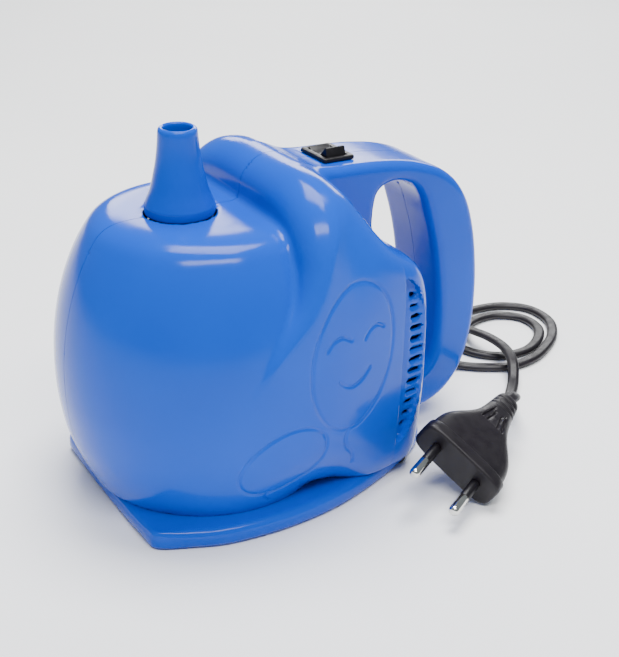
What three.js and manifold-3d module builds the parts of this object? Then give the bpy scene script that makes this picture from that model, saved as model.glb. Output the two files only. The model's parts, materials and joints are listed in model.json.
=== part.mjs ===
// Electric balloon inflator: a blue moulded housing in two halves on a base plate, with a
// vertical motor and centrifugal blower in its drum, a press-down nozzle, a rocker switch
// on the handle and a two-core mains lead that ends in a flat two-pin plug.
// Millimetres, +Z up, nozzle side to -Y, handle to +Y, standing on Z = 0.
import * as THREE from 'three';
import { mergeVertices } from 'three/addons/utils/BufferGeometryUtils.js';
import Module from 'manifold-3d';

const wasm = await Module();
wasm.setup();

// ---------------------------------------------------------------- driving dimensions
const GAP = 0.3;                      // clearance between touching pieces
const WALL = 2.4;                     // moulded wall of the housing
const MID_Y = 69.57;                  // middle of the whole length, from the base's front edge

const BASE = { bottom: 0.8, top: 7.2, edge: 1.6 };
const HOUSING_BOTTOM = BASE.top + GAP;

const DRUM = { y: 40, top: 104 };
const NOZZLE = { y: 31.8, skirtR: 12, stemR: 7.9, bottom: 103.5, top: 133, travel: 3 };
const SWITCH = { y: 90, top: 114.4, length: 16.8, width: 12.8, depth: 12, tilt: 10 };
const HANDLE = { halfWidth: 15.6, edge: 3.4 };
const CORD = { x: -22, z: 14, r: 2.5 };
const PLUG = { x: 64, y: 107, z: 14.4, heading: -62.4, roll: -34, pinLength: 19, pinR: 2, pinGap: 18.6 };

const MOTOR = { y: DRUM.y, coreR: 15.6, coreLow: 31, coreHigh: 50 };
const IMPELLER = { y: DRUM.y, r: 33, low: 62, high: 72, vanes: 9, shaftR: 2.5 };

// half width of the rear body, its top height and the squareness of its section,
// each given at distances back from the base's front edge
const BODY_WIDTH = [[2.4, 27], [7, 38], [15, 44.4], [24, 48.8], [34, 52], [50, 53.6], [66, 52.4],
  [82, 48.4], [98, 42.4], [106, 38.8], [112, 34.4], [117, 27], [119.6, 17], [120.6, 8]];
const BODY_TOP = [[2.4, 112], [52, 119], [61, 121.6], [67, 119], [72, 114], [78, 106], [83, 101],
  [90, 97], [96, 94], [102, 90], [107, 84.5], [111, 77], [115, 68], [118, 58], [120.6, 46]];
const BODY_SQUARE = [[2.4, 4], [61, 4], [72, 5], [90, 7], [120.6, 7]];
const BODY_FULL = 44;                 // height of the widest level

// side view of the body's sloping front, from the base up to the lip behind the drum
const FRONT_SLOPE = [[2.4, 7], [9.6, 21.6], [17.6, 36.8], [26.4, 50.4], [34.4, 63.2],
  [43, 75], [50, 83], [53, 92], [53.5, 104], [58, 126]];

// drum outline: radius and height
const DRUM_PROFILE = [[41.5, 7.5], [46.6, 14], [50.4, 24], [52.4, 36], [53, 48], [52.2, 62],
  [49.6, 76], [45.8, 87.4], [41.4, 96.8], [37.8, 102], [33.4, 104]];

// base plate outline on the right side, front to rear
const BASE_OUTLINE = [[0, -1.2], [20, -0.9], [38, 0], [43.8, 11], [48.2, 22], [50.3, 36], [50.6, 50],
  [48.8, 66], [45.4, 79], [40.2, 93.6], [33.7, 107.4], [26, 118.6], [14, 124.8], [0, 125.6]];

// ---------------------------------------------------------------- materials
const finish = (color, roughness, metalness = 0) =>
  new THREE.MeshStandardMaterial({ color, roughness, metalness });
const BLUE = finish(0x0a78ee, 0.22);
const BLACK = finish(0x17171b, 0.45);
const RUBBER = finish(0x1d1d1f, 0.8);
const STEEL = finish(0xb9bcc0, 0.3, 1);
const LAMINATION = finish(0x74777c, 0.5, 0.9);
const COPPER = finish(0xb5652c, 0.35, 0.9);
const BRASS = finish(0xc9a24e, 0.3, 1);
const NICKEL = finish(0xd3d1cb, 0.2, 1);
const CARBON = finish(0x2c2c30, 0.7);
const NYLON = finish(0xe7e3d6, 0.5);

// ---------------------------------------------------------------- geometry helpers
const root = new THREE.Group();
const assembly = new THREE.Group();
assembly.position.y = -MID_Y;
root.add(assembly);

function place(name, geometry, material, parent = assembly) {
  const mesh = new THREE.Mesh(geometry, material);
  mesh.name = name;
  parent.add(mesh);
  return mesh;
}

// keep positions only, join equal corners and turn the faces outwards
function closed(geometry) {
  geometry.deleteAttribute('normal');
  geometry.deleteAttribute('uv');
  const merged = mergeVertices(geometry, 1e-4);
  const p = merged.attributes.position;
  const index = merged.index.array;
  const a = new THREE.Vector3();
  const b = new THREE.Vector3();
  const c = new THREE.Vector3();
  let volume = 0;
  for (let i = 0; i < index.length; i += 3) {
    a.fromBufferAttribute(p, index[i]);
    b.fromBufferAttribute(p, index[i + 1]);
    c.fromBufferAttribute(p, index[i + 2]);
    volume += a.dot(b.cross(c));
  }
  if (volume < 0) {
    for (let i = 0; i < index.length; i += 3) {
      [index[i], index[i + 1]] = [index[i + 1], index[i]];
    }
  }
  return merged;
}

function solid(geometry) {
  const g = closed(geometry);
  return new wasm.Manifold(new wasm.Mesh({
    numProp: 3,
    vertProperties: new Float32Array(g.attributes.position.array),
    triVerts: new Uint32Array(g.index.array),
  }));
}

function geometryOf(manifold) {
  const mesh = manifold.getMesh();
  const g = new THREE.BufferGeometry();
  g.setAttribute('position', new THREE.BufferAttribute(new Float32Array(mesh.vertProperties), 3));
  g.setIndex(new THREE.BufferAttribute(new Uint32Array(mesh.triVerts), 1));
  return g;
}

const joined = (solids) => solids.reduce((sum, s) => sum.add(s));
const cut = (body, tools) => tools.reduce((rest, s) => rest.subtract(s), body);

// a smooth curve through [place, value] pairs, read at any place between them
function through(pairs) {
  return (at) => {
    const n = pairs.length;
    let i = 0;
    while (i < n - 2 && at > pairs[i + 1][0]) i += 1;
    const [x0, y0] = pairs[i];
    const [x1, y1] = pairs[i + 1];
    const [xa, ya] = pairs[Math.max(0, i - 1)];
    const [xb, yb] = pairs[Math.min(n - 1, i + 2)];
    const slope0 = (y1 - ya) / (x1 - xa);
    const slope1 = (yb - y0) / (xb - x0);
    const h = x1 - x0;
    const t = Math.min(1, Math.max(0, (at - x0) / h));
    return (2 * t ** 3 - 3 * t ** 2 + 1) * y0 + (t ** 3 - 2 * t ** 2 + t) * h * slope0
      + (3 * t ** 2 - 2 * t ** 3) * y1 + (t ** 3 - t ** 2) * h * slope1;
  };
}

// skin through closed rings of equal point count, with a fan over each end
function loft(rings) {
  const count = rings[0].length;
  const position = [];
  const index = [];
  rings.forEach((ring) => ring.forEach((p) => position.push(p.x, p.y, p.z)));
  for (let r = 0; r < rings.length - 1; r += 1) {
    for (let i = 0; i < count; i += 1) {
      const j = (i + 1) % count;
      const a = r * count + i;
      const b = r * count + j;
      index.push(a, b, a + count, b, b + count, a + count);
    }
  }
  [[0, 1], [rings.length - 1, -1]].forEach(([r, side]) => {
    const middle = new THREE.Vector3();
    rings[r].forEach((p) => middle.add(p));
    middle.divideScalar(count);
    const hub = position.length / 3;
    position.push(middle.x, middle.y, middle.z);
    for (let i = 0; i < count; i += 1) {
      const a = r * count + i;
      const b = r * count + ((i + 1) % count);
      index.push(...(side > 0 ? [b, a, hub] : [a, b, hub]));
    }
  });
  const g = new THREE.BufferGeometry();
  g.setAttribute('position', new THREE.Float32BufferAttribute(position, 3));
  g.setIndex(index);
  return g;
}

// [radius, height] outline turned about a vertical axis at (x, y)
function turned(profile, y = 0, sides = 32, x = 0) {
  const g = new THREE.LatheGeometry(profile.map(([r, z]) => new THREE.Vector2(r, z)), sides);
  return g.rotateX(Math.PI / 2).translate(x, y, 0);
}

// a turned ring with square section
const ring = (inner, outer, low, high, y = 0, sides = 32, x = 0) =>
  turned([[inner, low], [outer, low], [outer, high], [inner, high], [inner, low]], y, sides, x);

// a vertical rod, closed on its axis
const rod = (r, low, high, y = 0, sides = 16, x = 0) =>
  turned([[0, low], [r, low], [r, high], [0, high]], y, sides, x);

// a rod along X
const crossRod = (r, x0, x1, y, z, sides = 10) =>
  rod(r, x0, x1, 0, sides).rotateY(Math.PI / 2).translate(0, y, z);

function block(x0, x1, y0, y1, z0, z1) {
  const g = new THREE.BoxGeometry(x1 - x0, y1 - y0, z1 - z0);
  return g.translate((x0 + x1) / 2, (y0 + y1) / 2, (z0 + z1) / 2);
}

// an outline in the YZ plane given as [y, z], carried along X between two values
function sidePlate(outline, x0, x1) {
  const shape = new THREE.Shape(outline.map(([y, z]) => new THREE.Vector2(y, z)));
  const g = new THREE.ExtrudeGeometry(shape, { depth: x1 - x0, bevelEnabled: false });
  const turn = new THREE.Matrix4().set(0, 0, 1, 0, 1, 0, 0, 0, 0, 1, 0, 0, 0, 0, 0, 1);
  return g.applyMatrix4(turn).translate(x0, 0, 0);
}

// an outline in the XY plane given as [x, y], carried up between two heights
function flatPlate(outline, z0, z1) {
  const shape = new THREE.Shape(outline.map(([x, y]) => new THREE.Vector2(x, y)));
  return new THREE.ExtrudeGeometry(shape, { depth: z1 - z0, bevelEnabled: false }).translate(0, 0, z0);
}

// ---------------------------------------------------------------- housing surfaces
// one arch-shaped section of the rear body: nearly upright sides under a rounded shoulder
function bodySection(y, inset, steps) {
  const width = through(BODY_WIDTH)(y) - inset;
  const top = through(BODY_TOP)(y) - inset;
  const power = 2 / through(BODY_SQUARE)(y);
  const full = Math.min(BODY_FULL, 0.6 * top);
  const floor = HOUSING_BOTTOM - 2 * inset;
  const right = [[0.955 * width, floor], [0.985 * width, 0.5 * (full + floor)]];
  for (let i = 0; i < steps; i += 1) {
    const angle = (i / steps) * Math.PI / 2;
    right.push([width * Math.cos(angle) ** power, full + (top - full) * Math.sin(angle) ** power]);
  }
  const left = right.map(([x, z]) => [-x, z]).reverse();
  return [...right, [0, top], ...left].map(([x, z]) => new THREE.Vector3(x, y, z));
}

const OUTSIDE_STATIONS = [2.4, 8, 16, 28, 41, 53, 60, 66, 71, 76, 82, 90, 98, 105, 111, 115.5, 119, 120.6];
const INSIDE_STATIONS = [2.4, 8, 16, 28, 41, 60, 66, 76, 90, 105, 111, 116, 120.6];

function bodySolid(inset) {
  const stations = inset ? INSIDE_STATIONS : OUTSIDE_STATIONS;
  const rings = stations.map((y) => bodySection(y, inset, inset ? 5 : 7));
  rings.forEach((r) => r.forEach((p) => { p.y -= inset * (p.y - 60) / 60; }));
  const slope = FRONT_SLOPE.map(([y, z]) => [y + 1.3 * inset, z - 0.6 * inset]);
  const front = sidePlate([[-30, 0], [slope[0][0], 0], ...slope, [slope.at(-1)[0], 140], [-30, 140]],
    -70, 70);
  return solid(loft(rings)).subtract(solid(front));
}

function drumSolid(inset) {
  const wall = DRUM_PROFILE.map(([r, z]) => [r - inset, z - (z > 90 ? inset : 0)]);
  const low = HOUSING_BOTTOM - 2 * inset;
  const sides = inset ? 28 : 40;
  return solid(turned([[0, low], [wall[0][0], low], ...wall.slice(1), [0, DRUM.top - inset]],
    DRUM.y, sides));
}

// the loop handle: an outline with a finger hole, its long edges rounded
const HANDLE_BACK = [[64, 118], [74, 116.2], [84, 114.6], [96, 114.2], [108, 113.3], [120, 111.2],
  [129.6, 107.6], [138, 101.6], [144, 93.4], [148, 82.6], [150.6, 70], [152, 56], [151.8, 42],
  [149.6, 29], [145.6, 19.4], [139, 12.4], [131, 8.8], [121, 7.8]];
const FINGER_HOLE = [[120, 22.4], [126.4, 24], [131, 29], [133.2, 38.4], [133.4, 49.6], [132, 64],
  [129.4, 77.6], [126, 89], [122.6, 97.6], [118, 103], [112.4, 105.2], [107, 105], [103.2, 103],
  [101.6, 98]];

const smooth = (pairs, count) =>
  new THREE.SplineCurve(pairs.map(([a, b]) => new THREE.Vector2(a, b))).getPoints(count);

function handleSolid(inset) {
  const shape = new THREE.Shape([...smooth(HANDLE_BACK, inset ? 20 : 30), new THREE.Vector2(64, 7.8)]);
  shape.holes.push(new THREE.Path([...smooth(FINGER_HOLE, inset ? 16 : 22), new THREE.Vector2(101.6, 22.4)]));
  const edge = HANDLE.edge - inset;
  const depth = 2 * (HANDLE.halfWidth - inset - edge);
  const g = new THREE.ExtrudeGeometry(shape, {
    depth,
    bevelThickness: edge,
    bevelSize: edge,
    bevelOffset: -edge - inset,
    bevelSegments: inset ? 1 : 2,
  });
  const turn = new THREE.Matrix4().set(0, 0, 1, 0, 1, 0, 0, 0, 0, 1, 0, 0, 0, 0, 0, 1);
  return solid(g.applyMatrix4(turn).translate(-depth / 2, 0, 0));
}

// ---------------------------------------------------------------- housing details
const HOUSING_SCREWS = [[-6, 52], [83, 92], [143.4, 66], [138, 21], [108, 24]];   // [y, z]
const BASE_SCREWS = [[30, 12], [35.6, 96], [-30, 12], [-35.6, 96]];               // [x, y]
const BOSS_R = 4.2;

// thirteen slots down the rear edge of each side, longest in the middle
function ventSlots(side) {
  const slots = [];
  const count = 13;
  for (let i = 0; i < count; i += 1) {
    const along = (i - (count - 1) / 2) / ((count - 1) / 2);
    const z = 48.2 + 25.6 * along;
    const y = 106 - 3.2 * along ** 2;
    const half = 3.8 - 1.5 * along ** 2;
    const shape = new THREE.Shape();
    shape.absellipse(0, 0, half, 1.15, 0, 2 * Math.PI);
    const g = new THREE.ExtrudeGeometry(shape, { depth: 14, bevelEnabled: false, curveSegments: 4 });
    const x = through(BODY_WIDTH)(y);
    const aim = new THREE.Matrix4().makeBasis(
      new THREE.Vector3(-0.55, 0.835, 0),
      new THREE.Vector3(0, 0, 1),
      new THREE.Vector3(0.835, 0.55, 0),
    ).setPosition(x - 6, y - 4, z);
    slots.push(solid(g.applyMatrix4(aim).scale(side, 1, 1)));
  }
  return slots;
}

function bosses() {
  const across = HOUSING_SCREWS.map(([y, z]) => solid(crossRod(BOSS_R, -56, 56, y, z)));
  const upright = BASE_SCREWS.map(([x, y]) => solid(rod(BOSS_R, HOUSING_BOTTOM, 18, y, 10, x)));
  const shelf = solid(ring(38, 60, 54.6, 57, DRUM.y, 24));
  return joined([...across, ...upright, shelf]);
}

function boreTools() {
  const tools = [];
  HOUSING_SCREWS.forEach(([y, z]) => {
    tools.push(solid(crossRod(1.9, -56, 8.6, y, z, 8)));
    tools.push(solid(crossRod(3.0, -60, -4.6, y, z, 8)));
  });
  BASE_SCREWS.forEach(([x, y]) => tools.push(solid(rod(1.9, 0, 16, y, 8, x))));
  return tools;
}

function housing() {
  const outer = joined([bodySolid(0), drumSolid(0), handleSolid(0)]);
  const inner = joined([bodySolid(WALL), drumSolid(WALL), handleSolid(WALL)]);
  const shell = outer.subtract(inner).add(bosses().intersect(outer));
  const tools = [
    ...boreTools(),
    ...ventSlots(1),
    ...ventSlots(-1),
    solid(rod(NOZZLE.skirtR + 0.5, 90, 110, NOZZLE.y, 28)),
    solid(block(-7.4, 7.4, SWITCH.y - 5.4, SWITCH.y + 5.4, 100, 120)),
    solid(block(-9, 9, SWITCH.y - 7, SWITCH.y + 7, SWITCH.top, 126)),
    solid(rod(4.6, 90, 128, 0, 16, CORD.x).rotateX(-Math.PI / 2).translate(0, 0, CORD.z)),
    solid(block(-80, 80, -40, 180, -10, HOUSING_BOTTOM)),
  ];
  return cut(shell, tools);
}

function addHousing() {
  const whole = housing();
  const right = whole.intersect(solid(block(GAP / 2, 90, -60, 190, -20, 160)));
  const left = whole.intersect(solid(block(-90, -GAP / 2, -60, 190, -20, 160)));
  place('housing_right', geometryOf(right), BLUE);
  place('housing_left', geometryOf(left), BLUE);
}

// ---------------------------------------------------------------- base, feet and screws
const FEET = [[34, 24], [30, 104], [-34, 24], [-30, 104]];

function baseRing(inset, z) {
  const half = BASE_OUTLINE.map(([x, y]) => new THREE.Vector2(x, y));
  const curve = new THREE.SplineCurve([...half.slice(2)]);
  const right = [half[0], half[1], ...curve.getPoints(15)];
  const left = right.slice(1, -1).map((p) => new THREE.Vector2(-p.x, p.y)).reverse();
  const middle = 62;
  return [...right, ...left].map((p) => {
    const shrink = 1 - inset / 55;
    return new THREE.Vector3(p.x * shrink, middle + (p.y - middle) * shrink, z);
  });
}

function addBase() {
  const plate = solid(loft([baseRing(1.2, BASE.bottom), baseRing(0, BASE.bottom + 1.4),
    baseRing(0, BASE.top - BASE.edge), baseRing(BASE.edge, BASE.top)]));
  const tools = [];
  FEET.forEach(([x, y]) => tools.push(solid(rod(5.3, 0, 3.2, y, 14, x))));
  BASE_SCREWS.forEach(([x, y]) => {
    tools.push(solid(rod(1.9, 0, 10, y, 8, x)));
    tools.push(solid(rod(3.3, 0, 3.4, y, 8, x)));
  });
  place('base_plate', geometryOf(cut(plate, tools)), BLUE);
  FEET.forEach(([x, y], i) => {
    const foot = turned([[0, 0], [4.4, 0], [5, 0.6], [5, 2.9], [0, 2.9]], y, 14, x);
    place(`rubber_foot_${i + 1}`, closed(foot), RUBBER);
  });
  BASE_SCREWS.forEach(([x, y], i) => {
    const screw = turned([[0, 1.4], [2.2, 1.4], [3, 2], [3, 3.1], [1.5, 3.1], [1.5, 15], [0, 15.6]], y, 8, x);
    place(`base_screw_${i + 1}`, closed(screw), STEEL);
  });
  HOUSING_SCREWS.forEach(([y, z], i) => {
    const screw = turned([[0, -8], [2.2, -8], [2.7, -7.2], [2.7, -5], [1.5, -5], [1.5, 8], [0, 8.4]], 0, 8);
    place(`housing_screw_${i + 1}`, closed(screw.rotateY(Math.PI / 2).translate(0, y, z)), STEEL);
  });
}

// ---------------------------------------------------------------- nozzle
function addNozzle() {
  const profile = [[6.5, 90.5], [NOZZLE.stemR, 90.5], [NOZZLE.stemR, NOZZLE.bottom],
    [NOZZLE.skirtR, NOZZLE.bottom], [NOZZLE.skirtR, 106.6], [11.4, 107.8], [9.9, 111.6], [8.6, 116.6],
    [7.6, 121.6], [6.95, 127], [6.6, 131], [6.2, 132.6], [5.6, NOZZLE.top], [5, 132.6], [4.9, 131],
    [5.6, 112], [6.5, 102], [6.5, 90.5]];
  place('nozzle', closed(turned(profile, NOZZLE.y, 26)), BLUE);
  place('nozzle_gasket', closed(ring(12.9, 15.3, 98.3, DRUM.top - WALL - GAP, NOZZLE.y, 20)), RUBBER);
  place('nozzle_spring', springGeometry(), STEEL);
}

function springGeometry() {
  const wire = 0.55;
  const low = 91.3 + wire;
  const high = NOZZLE.bottom - GAP - wire;
  const turns = 4.5;
  const steps = 45;
  const points = [];
  for (let i = 0; i <= steps; i += 1) {
    const t = i / steps;
    const angle = t * turns * 2 * Math.PI;
    points.push(new THREE.Vector3(11.2 * Math.cos(angle), NOZZLE.y + 11.2 * Math.sin(angle),
      low + (high - low) * t));
  }
  const section = new THREE.Shape();
  section.absarc(0, 0, wire, 0, 2 * Math.PI);
  const path = new THREE.CatmullRomCurve3(points);
  return closed(new THREE.ExtrudeGeometry(section, { steps, extrudePath: path, curveSegments: 3 }));
}

// ---------------------------------------------------------------- switch
function addSwitch() {
  const { y, top, length, width, depth, tilt } = SWITCH;
  const pivotZ = top - 0.4;
  const flange = solid(block(-length / 2, length / 2, y - width / 2, y + width / 2, top + GAP, top + 1.5));
  const box = solid(block(-7, 7, y - 5, y + 5, top - depth, top + GAP));
  const pocket = solid(block(-6.5, 6.5, y - 4, y + 4, top - 6.6, top + 4));
  const pinHole = solid(rod(1.1, -6, 6, 0, 12).rotateX(Math.PI / 2).translate(0, y, pivotZ));
  place('switch_body', geometryOf(flange.add(box).subtract(pocket).subtract(pinHole)), BLACK);

  const rocker = new THREE.Shape([[-5.9, -0.6], [0, -4.4], [5.9, -0.6], [5.9, 2.9], [0, 1.7], [-5.9, 2.9]]
    .map(([x, z]) => new THREE.Vector2(x, z)));
  const g = new THREE.ExtrudeGeometry(rocker, { depth: 7.4, bevelEnabled: false });
  g.translate(0, 0, -3.7).rotateX(Math.PI / 2).rotateY(-THREE.MathUtils.degToRad(tilt));
  g.translate(0, y, pivotZ);
  place('switch_rocker', geometryOf(solid(g).subtract(
    solid(rod(0.88, -6, 6, 0, 16).rotateX(Math.PI / 2).translate(0, y, pivotZ)))), BLACK);
  const pin = rod(0.8, -4.8, 4.8, 0, 16).rotateX(Math.PI / 2).translate(0, y, pivotZ);
  place('rocker_pin', closed(pin), STEEL);
  [-3.6, 3.6].forEach((x, i) => {
    const blade = block(x - 0.4, x + 0.4, y - 2.4, y + 2.4, top - depth - 7, top - depth - GAP);
    place(`switch_terminal_${i + 1}`, closed(blade), BRASS);
  });
}

// ---------------------------------------------------------------- motor
function addMotor() {
  const y = MOTOR.y;
  place('shaft', closed(rod(IMPELLER.shaftR, 15, 74.8, y, 16)), STEEL);
  const inner = IMPELLER.shaftR + 0.05;
  place('bearing_lower', closed(ring(inner, 6, 16, 20, y, 16)), STEEL);
  place('bearing_upper', closed(ring(inner, 6, 55.2, 59.2, y, 16)), STEEL);
  place('commutator', geometryOf(commutator(y, inner)), COPPER);
  place('armature', geometryOf(armature(y, inner)), LAMINATION);
  place('stator_core', geometryOf(statorCore(y)), LAMINATION);
  [1, -1].forEach((side) => {
    place(side > 0 ? 'field_coil_rear' : 'field_coil_front', geometryOf(fieldCoil(y, side)), COPPER);
  });
  place('motor_bracket', geometryOf(motorBracket(y)), BLACK);
  [1, -1].forEach((side, i) => addBrush(side, i + 1, y));
  place('motor_mount', closed(ring(10, 16, HOUSING_BOTTOM, 13.6, y, 18)), RUBBER);
}

function commutator(y, inner) {
  const bars = 8;
  const body = solid(ring(inner, 8, 22, 29, y, 16));
  const slits = [];
  for (let i = 0; i < bars; i += 1) {
    const slit = block(7, 9, -0.25, 0.25, 21, 30);
    slits.push(solid(slit.rotateZ((i / bars) * 2 * Math.PI).translate(0, y, 0)));
  }
  return cut(body, slits);
}

// laminated core with twelve winding slots
function armature(y, inner) {
  const slots = 10;
  const body = solid(ring(inner, MOTOR.coreR, MOTOR.coreLow, MOTOR.coreHigh, y, 20));
  const tools = [];
  for (let i = 0; i < slots; i += 1) {
    const slot = block(10, 14.4, -1.5, 1.5, 30, 52);
    const mouth = block(14, 17, -0.6, 0.6, 30, 52);
    const turn = (i / slots) * 2 * Math.PI;
    tools.push(solid(slot.rotateZ(turn).translate(0, y, 0)));
    tools.push(solid(mouth.rotateZ(turn).translate(0, y, 0)));
  }
  return cut(body, tools);
}

// two-pole yoke: a square stack with a round bore and a winding window each side of it
function statorCore(y) {
  const half = 25;
  const chamfer = 6;
  const outline = [];
  [[1, 1], [-1, 1], [-1, -1], [1, -1]].forEach(([sx, sy]) => {
    const a = [sx * half, sy * (half - chamfer)];
    const b = [sx * (half - chamfer), sy * half];
    outline.push(...(sx * sy > 0 ? [a, b] : [b, a]));
  });
  const body = solid(flatPlate(outline, MOTOR.coreLow + 0.5, MOTOR.coreHigh - 0.5));
  const bore = solid(rod(MOTOR.coreR + 0.6, 20, 60, 0, 24));
  const window = [1, -1].map((side) => solid(block(-14.6, 14.6, side > 0 ? 11 : -19.4,
    side > 0 ? 19.4 : -11, 20, 60)));
  return cut(body, [bore, ...window]).translate([0, y, 0]);
}

// each coil is a rounded frame that lies in one window and over both faces of the yoke
function fieldCoil(y, side) {
  const middle = side * 17.6;
  const outer = block(-13.8, 13.8, middle - 1.3, middle + 1.3, MOTOR.coreLow - 5, MOTOR.coreHigh + 3.6);
  const hug = rod(MOTOR.coreR + 0.9, 0, 80, 0, 36);
  return solid(outer).subtract(solid(hug)).translate([0, y, 0]);
}

// lower end bracket: a cup for the bearing on four arms under the yoke
function motorBracket(y) {
  const hub = solid(ring(6.3, 9, 14, 20.8, 0, 16));
  const floor = solid(ring(3.4, 16.4, 13.9, 15.7, 0, 16));
  const pieces = [hub, floor];
  for (let i = 0; i < 4; i += 1) {
    const turn = Math.PI / 4 + (i * Math.PI) / 2;
    pieces.push(solid(block(14, 27.4, -3, 3, 13.9, 16.6).rotateZ(turn)));
    pieces.push(solid(block(23.6, 27.4, -3, 3, 14, MOTOR.coreLow + 0.2).rotateZ(turn)));
  }
  return joined(pieces).translate([0, y, 0]);
}

function addBrush(side, number, y) {
  const holder = solid(block(9.4, 20, -3.2, 3.2, 22.4, 28.6)).subtract(
    solid(block(9, 18.6, -2.1, 2.1, 23.6, 27.6)));
  const turned180 = side > 0 ? holder : holder.rotate([0, 0, 180]);
  place(`brush_holder_${number}`, geometryOf(turned180.translate([0, y, 0])), BRASS);
  const brush = block(8.3, 17.6, -1.8, 1.8, 23.9, 27.3);
  if (side < 0) brush.rotateZ(Math.PI);
  place(`carbon_brush_${number}`, closed(brush.translate(0, y, 0)), CARBON);
}

// ---------------------------------------------------------------- blower
// a curved vane of constant thickness: an arc leaving the hub and sweeping back to the rim
function vaneOutline(r0, r1, sweep, thickness) {
  const steps = 5;
  const near = [];
  const far = [];
  for (let i = 0; i <= steps; i += 1) {
    const t = i / steps;
    const r = r0 + (r1 - r0) * t;
    const angle = sweep * t ** 1.3;
    const lean = thickness / (2 * r);
    near.push([r * Math.cos(angle - lean), r * Math.sin(angle - lean)]);
    far.unshift([r * Math.cos(angle + lean), r * Math.sin(angle + lean)]);
  }
  return [...near, ...far];
}

function vaneRing(count, r0, r1, sweep, thickness, z0, z1) {
  const vanes = [];
  for (let i = 0; i < count; i += 1) {
    const g = flatPlate(vaneOutline(r0, r1, sweep, thickness), z0, z1);
    vanes.push(solid(g.rotateZ((i / count) * 2 * Math.PI)));
  }
  return vanes;
}

// closed impeller: back disc, swept vanes and a shroud ring round the eye
function impellerSolid() {
  const { r, low, high, vanes, shaftR } = IMPELLER;
  const disc = solid(ring(shaftR + 0.05, r, high - 1.4, high, 0, 32));
  const hub = solid(turned([[shaftR + 0.05, low + 1.6], [5, low + 1.6], [6.4, high - 1.6], [8.6, high - 1],
    [shaftR + 0.05, high - 1], [shaftR + 0.05, low + 1.6]], 0, 16));
  const shroud = solid(turned([[12, low + 0.4], [13.2, low], [r, low + 1.6], [r, low + 2.8],
    [13, low + 1.4], [12, low + 0.4]], 0, 32));
  return joined([disc, hub, shroud, ...vaneRing(vanes, 7.4, r - 0.2, -0.95, 1.1, low + 1, high - 0.6)]);
}

function addBlower() {
  const { y, high } = IMPELLER;
  place('impeller', geometryOf(impellerSolid().translate([0, y, 0])), NYLON);
  const nut = solid(rod(4.6, high + GAP, high + 2.6, y, 6)).subtract(
    solid(rod(IMPELLER.shaftR + 0.05, high, high + 4, y, 16)));
  place('impeller_nut', geometryOf(nut), BRASS);

  // motor plate: carries the upper bearing and has a ring of air holes round it
  const plate = solid(ring(6.3, 40.6, 57.3, 59.3, 0, 32)).add(solid(ring(6.3, 9, 54.6, 59.3, 0, 16)));
  const eyes = [];
  for (let i = 0; i < 8; i += 1) {
    eyes.push(solid(rod(2.1, 50, 64, 0, 8, 11.6).rotateZ((i / 8) * 2 * Math.PI)));
  }
  place('motor_plate', geometryOf(cut(plate, eyes).translate([0, y, 0])), BLACK);

  // fixed guide vanes that turn the swirling air inwards to the outlet
  const disc = solid(ring(7.4, 29.2, 76, 77.2, 0, 28));
  const guide = joined([disc, ...vaneRing(9, 9.4, 27, 0.7, 1.1, 76.4, 79.4)]);
  place('guide_vanes', geometryOf(guide.translate([0, y, 0])), NYLON);
  place('blower_cover', geometryOf(blowerCover()), BLACK);
}

// dome over the impeller whose neck leans forward to the nozzle and ends in a spring cup
function blowerCover() {
  const y = IMPELLER.y;
  const lean = NOZZLE.y - y;
  const neck = (r, low, high) => {
    const rings = [];
    for (let i = 0; i <= 3; i += 1) {
      const t = i / 3;
      const ease = t * t * (3 - 2 * t);
      const circle = [];
      for (let k = 0; k < 20; k += 1) {
        const angle = (k / 20) * 2 * Math.PI;
        circle.push(new THREE.Vector3(r * Math.cos(angle), y + lean * ease + r * Math.sin(angle),
          low + (high - low) * t));
      }
      rings.push(circle);
    }
    return solid(loft(rings));
  };
  const outer = joined([
    solid(turned([[0, 59.6], [40.6, 59.6], [40.6, 61.4], [37.4, 61.4], [37.4, 74], [34.6, 79],
      [28, 81.8], [14, 83], [0, 83]], y, 36)),
    neck(9.6, 80, 87),
    solid(rod(9.6, 86.6, 90, NOZZLE.y, 20)),
    solid(rod(15.3, 89, 98, NOZZLE.y, 24)),
  ]);
  const inner = [
    solid(turned([[0, 59], [35.4, 59], [35.4, 73], [32.8, 77.6], [27, 79.9], [12, 81], [0, 81]], y, 32)),
    neck(8.3, 79.5, 86.9),
    solid(ring(9.4, 12.9, 91, 99, NOZZLE.y, 24)),
    solid(ring(8, 13, 95, 99, NOZZLE.y, 24)),
    solid(rod(8.3, 86.7, 99, NOZZLE.y, 20)),
  ];
  return cut(outer, inner);
}

// ---------------------------------------------------------------- mains lead and plug
// the lead: out of the strain relief, down to the surface, two loose loops, then to the plug
const LEAD = [[-22, 146.9, 14], [-21.9, 153, 12.8], [-20, 162, 7], [-15.4, 171, 3], [-8.4, 180, 2.7],
  [-3.4, 191, 2.7], [-4.2, 204, 2.7], [-10, 217, 2.7], [-19, 229, 2.7], [-31, 237, 2.7], [-45, 237, 2.7],
  [-54, 228, 2.7], [-57, 214, 2.7], [-54.6, 200, 2.7], [-47, 188.6, 2.7], [-35, 182.6, 2.7],
  [-22.4, 184.4, 2.7], [-13.4, 193, 2.7], [-11.6, 206, 2.7], [-17, 218, 2.7], [-27, 227, 2.7],
  [-39, 227.4, 2.7], [-47, 218.6, 2.7], [-47.4, 206, 2.9], [-41.4, 195.6, 4], [-31, 190.6, 7.4],
  [-19.6, 191, 8.8], [-8, 190.4, 8.8], [2, 186.6, 7.6], [10.4, 180.4, 4.2], [19, 171.4, 3.6],
  [27, 165, 8], [34, 160, 13.6], [39, 154.8, 17], [41.7, 149.5, 17.9]];

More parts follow.
